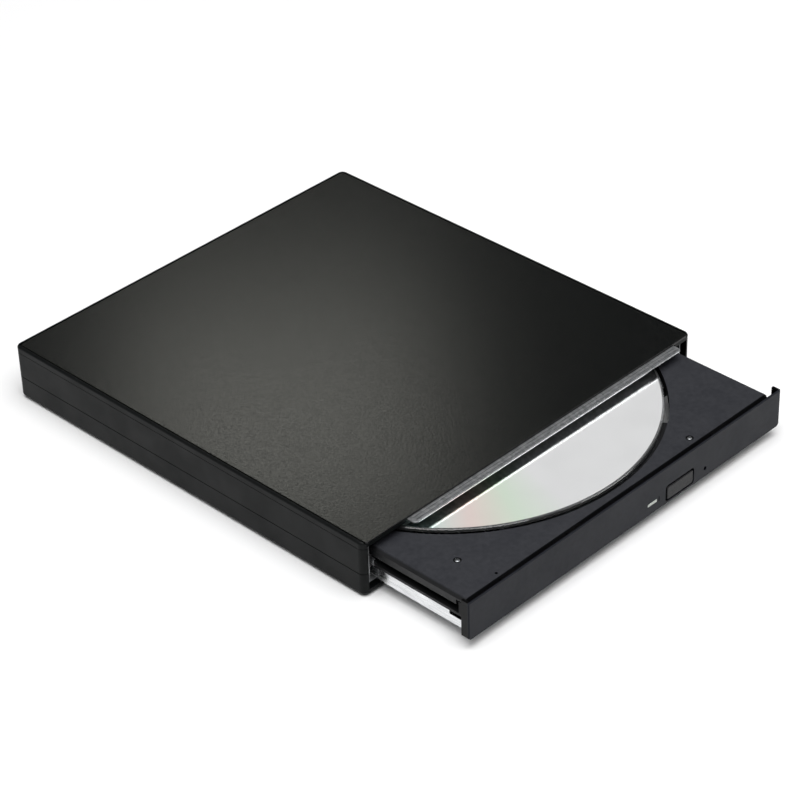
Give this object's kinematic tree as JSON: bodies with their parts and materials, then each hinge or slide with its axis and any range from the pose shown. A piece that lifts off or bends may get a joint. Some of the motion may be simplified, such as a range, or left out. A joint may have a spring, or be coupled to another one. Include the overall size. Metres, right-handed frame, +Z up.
{
  "type": "external optical drive",
  "caption": "Slim external optical disc drive: flat two-part plastic enclosure with a tray-loading drawer, spindle, sliding pickup, eject button and latch.",
  "frame": {"origin": "centre of the enclosure footprint, on the plane that its feet stand on; the drawer stands 30.8 mm open at rest", "axes": "+X to the right seen from the front, +Y to the back, +Z up"},
  "size_m": [0.134, 0.1764, 0.0179],
  "materials": {
    "shell_plastic": "fine satin, black",
    "plate_plastic": "fine-grain textured charcoal",
    "tray_plastic": "fine satin, dark grey",
    "bezel_plastic": "fine satin, dark grey",
    "black_plastic": "plain moulded",
    "rubber_black": "matt",
    "screw_steel": "bright zinc",
    "black_screw": "black oxide",
    "galvanised": "galvanised sheet",
    "bright_steel": "bright sheet",
    "board_green": "solder mask",
    "chip_black": "moulded package",
    "nickel": "nickel plate",
    "ribbon": "flat flexible cable",
    "lens_clear": "milky light pipe",
    "led_body": "lamp",
    "copper": "enamelled winding",
    "chassis": "dark coating",
    "disc_face": "metallised polycarbonate",
    "glass": "coated lens",
    "hub_plastic": "black"
  },
  "bodies": {
    "enclosure": {"upper_shell": "shell_plastic", "top_plate": "plate_plastic", "bottom_shell": "shell_plastic", "rubber_feet": "rubber_black", "shell_screws": "black_screw", "bridge_board": "board_green", "bridge_chips": "chip_black", "usb_socket": "nickel", "usb_tongue": "black_plastic", "dc_socket": "black_plastic", "dc_pin": "nickel", "board_connector": "black_plastic", "drive_bottom_case": "galvanised", "drive_top_cover": "galvanised", "case_screws": "screw_steel", "left_guide": "black_plastic", "right_guide": "black_plastic", "rear_board": "board_green", "rear_chips": "chip_black", "drive_connector": "black_plastic", "fixed_ribbon": "ribbon", "latch_post": "screw_steel"},
    "left_rail": {"left_rail": "bright_steel"},
    "right_rail": {"right_rail": "bright_steel"},
    "drawer": {"tray": "tray_plastic", "tray_screws": "screw_steel", "tray_bezel": "bezel_plastic", "status_lens": "lens_clear", "undertray": "bright_steel", "tray_board": "board_green", "tray_chips": "chip_black", "tray_ribbon": "ribbon", "eject_switch": "black_plastic", "status_led": "led_body", "solenoid_frame": "bright_steel", "solenoid_coil": "copper", "latch_pin": "screw_steel", "latch_spring": "screw_steel", "traverse_frame": "chassis", "isolators": "rubber_black", "isolator_screws": "screw_steel", "spindle_stator": "copper", "guide_rods": "screw_steel", "sled_motor": "nickel"},
    "eject_button": {"eject_button": "bezel_plastic"},
    "latch": {"latch_lever": "black_plastic"},
    "spindle": {"spindle_rotor": "nickel", "turntable_pad": "rubber_black", "spindle_hub": "hub_plastic", "hub_balls": "screw_steel", "disc": "disc_face"},
    "pickup": {"pickup_body": "chassis", "pickup_cover": "bright_steel", "pickup_board": "board_green", "drive_nut": "black_plastic"},
    "lens_carrier": {"lens_holder": "black_plastic", "objective_lens": "glass"},
    "lead_screw": {"lead_screw": "screw_steel"}
  },
  "joints": [
    {"name": "tray_slide", "type": "slide", "parent": "enclosure", "child": "drawer", "axis": [0, -1, 0], "range_m": [-0.0308, 0.0962]},
    {"name": "left_rail_slide", "type": "slide", "parent": "enclosure", "child": "left_rail", "axis": [0, -1, 0], "range_m": [-0.0154, 0.0481]},
    {"name": "right_rail_slide", "type": "slide", "parent": "enclosure", "child": "right_rail", "axis": [0, -1, 0], "range_m": [-0.0154, 0.0481]},
    {"name": "eject_press", "type": "slide", "parent": "drawer", "child": "eject_button", "axis": [0, 1, 0], "range_m": [0, 0.0006], "stiffness_N_per_m": 500},
    {"name": "latch_pivot", "type": "hinge", "parent": "drawer", "child": "latch", "pos_m": [0.0495, -0.0985, 0.0073], "axis": [0, 0, 1], "range_deg": [0, 14], "stiffness_Nm_per_rad": 0.002},
    {"name": "disc_spin", "type": "hinge", "parent": "drawer", "child": "spindle", "pos_m": [0, -0.0388, 0.009], "axis": [0, 0, 1], "continuous": true},
    {"name": "sled_travel", "type": "slide", "parent": "drawer", "child": "pickup", "axis": [-0.7071, -0.7071, 0], "range_m": [0, 0.033]},
    {"name": "screw_turn", "type": "hinge", "parent": "drawer", "child": "lead_screw", "pos_m": [-0.01598, -0.07939, 0.0076], "axis": [-0.7071, -0.7071, 0], "range_deg": [-1, 3961]},
    {"name": "lens_focus", "type": "slide", "parent": "pickup", "child": "lens_carrier", "axis": [0, 0, 1], "range_m": [-0.0005, 0.0007], "stiffness_N_per_m": 60}
  ],
  "couplings": [
    {"joint": "left_rail_slide", "follows": "tray_slide", "ratio": 0.5},
    {"joint": "right_rail_slide", "follows": "tray_slide", "ratio": 0.5},
    {"joint": "screw_turn", "follows": "sled_travel", "rad_per_m": 2094.4}
  ]
}
